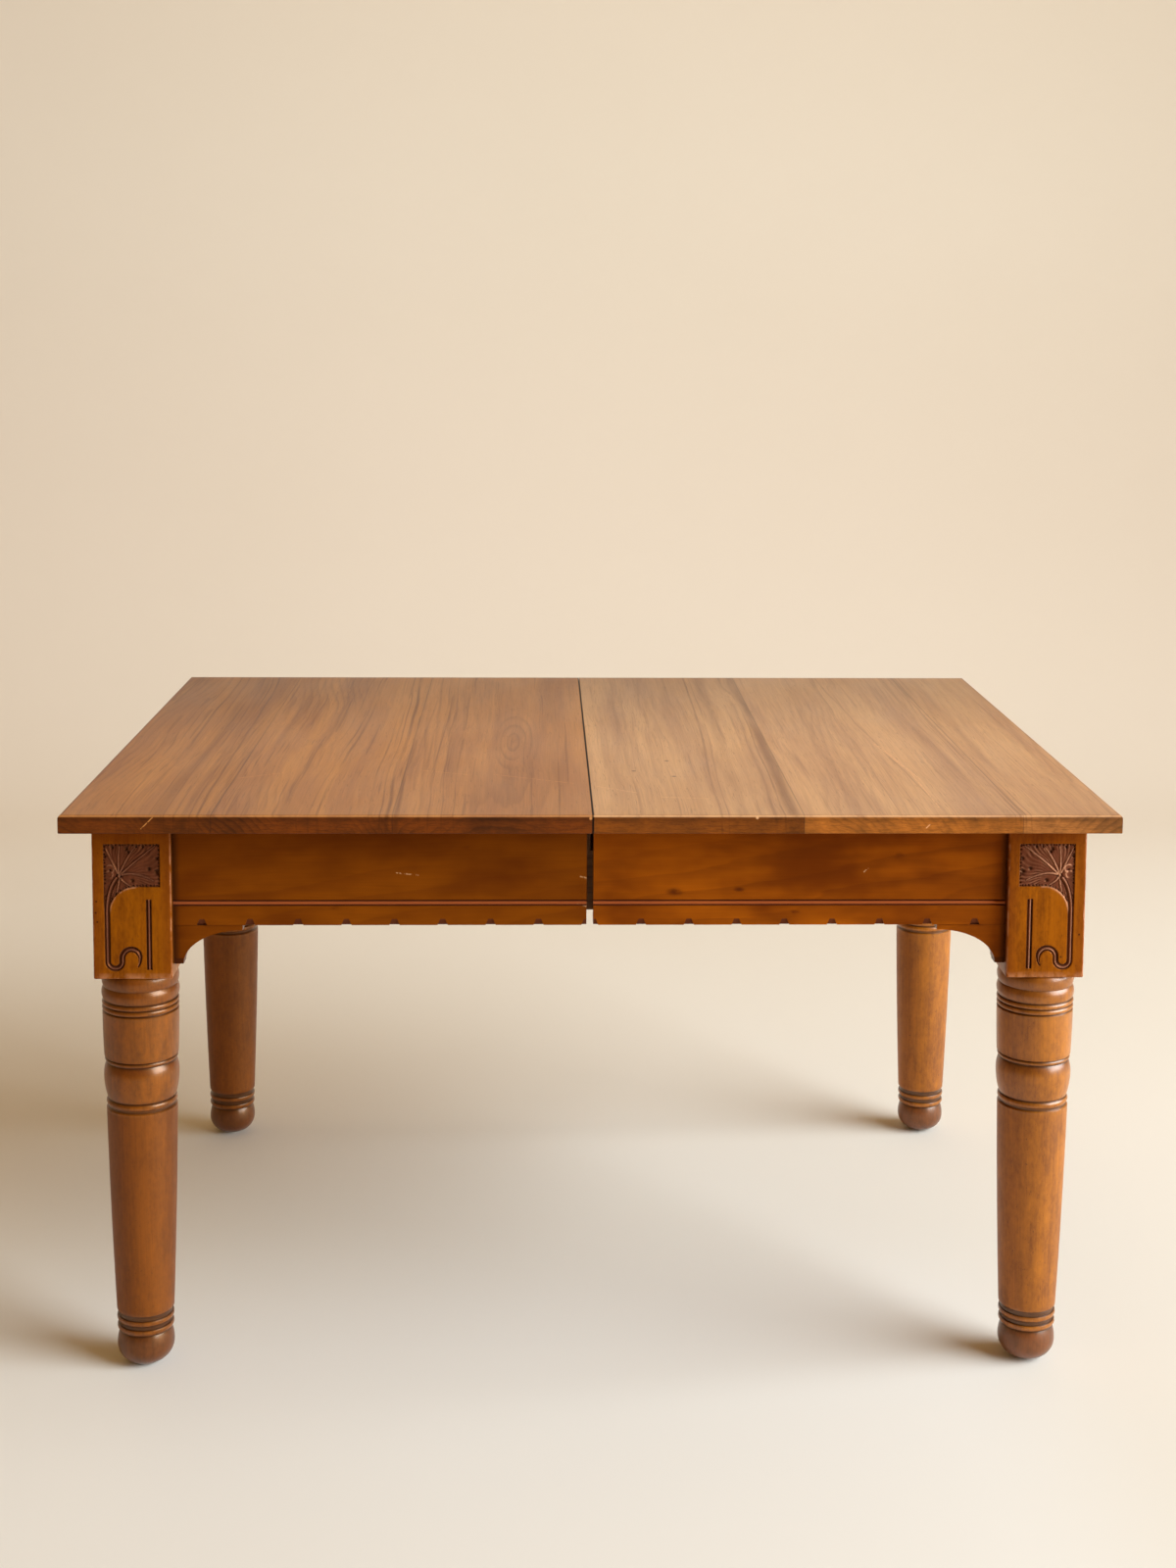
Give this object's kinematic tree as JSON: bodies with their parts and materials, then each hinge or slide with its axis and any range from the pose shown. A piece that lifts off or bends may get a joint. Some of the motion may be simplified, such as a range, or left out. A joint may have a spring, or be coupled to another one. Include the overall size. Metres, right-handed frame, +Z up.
{
  "type": "extending dining table",
  "caption": "Wooden dining table on turned legs with carved blocks and beaded aprons; its plank top parts at a middle seam and draws open on wooden slide runners.",
  "frame": {"origin": "on the floor, under the middle of the closed table, at the seam", "axes": "+X along the length, the way the right half draws out; +Z up; the side in the picture faces -Y"},
  "size_m": [1.328, 1.015, 0.76],
  "materials": {
    "left_top_wood": "worn satin lacquer, grain front to back",
    "right_top_wood": "worn satin lacquer, grain front to back",
    "leg_wood": "semi-gloss polish, dark stain in the cuts",
    "apron_wood": "semi-gloss polish, red-brown",
    "slide_wood": "bare, darkened with age",
    "glide_felt": "pressed felt",
    "screw_steel": "dull, slightly tarnished"
  },
  "bodies": {
    "left_half": {"left_back_apron": "apron_wood", "left_back_batten": "slide_wood", "left_back_bracket": "apron_wood", "left_back_glide": "glide_felt", "left_back_leg": "leg_wood", "left_back_runner": "slide_wood", "left_batten_screws": "screw_steel", "left_end_apron": "apron_wood", "left_end_back_bracket": "apron_wood", "left_end_front_bracket": "apron_wood", "left_front_apron": "apron_wood", "left_front_batten": "slide_wood", "left_front_bracket": "apron_wood", "left_front_glide": "glide_felt", "left_front_leg": "leg_wood", "left_front_runner": "slide_wood", "left_glue_blocks": "slide_wood", "left_runner_screws": "screw_steel", "left_stop_pegs": "slide_wood", "left_top_middle_board": "left_top_wood", "left_top_outer_board": "left_top_wood", "left_top_seam_board": "left_top_wood"},
    "middle_slides": {"middle_back_runner": "slide_wood", "middle_back_tongue": "slide_wood", "middle_front_runner": "slide_wood", "middle_front_tongue": "slide_wood", "middle_left_rail": "slide_wood", "middle_rail_screws": "screw_steel", "middle_right_rail": "slide_wood", "middle_stop_pegs": "slide_wood"},
    "right_half": {"right_back_apron": "apron_wood", "right_back_batten": "slide_wood", "right_back_bracket": "apron_wood", "right_back_glide": "glide_felt", "right_back_leg": "leg_wood", "right_back_runner": "slide_wood", "right_back_tongue": "slide_wood", "right_batten_screws": "screw_steel", "right_end_apron": "apron_wood", "right_end_back_bracket": "apron_wood", "right_end_front_bracket": "apron_wood", "right_front_apron": "apron_wood", "right_front_batten": "slide_wood", "right_front_bracket": "apron_wood", "right_front_glide": "glide_felt", "right_front_leg": "leg_wood", "right_front_runner": "slide_wood", "right_front_tongue": "slide_wood", "right_glue_blocks": "slide_wood", "right_runner_screws": "screw_steel", "right_top_middle_board": "right_top_wood", "right_top_outer_board": "right_top_wood", "right_top_seam_board": "right_top_wood", "seam_dowels": "slide_wood"}
  },
  "joints": [
    {"name": "middle_slide", "type": "slide", "parent": "left_half", "child": "middle_slides", "axis": [1, 0, 0], "range_m": [0, 0.5]},
    {"name": "right_slide", "type": "slide", "parent": "middle_slides", "child": "right_half", "axis": [1, 0, 0], "range_m": [0, 0.5]}
  ]
}
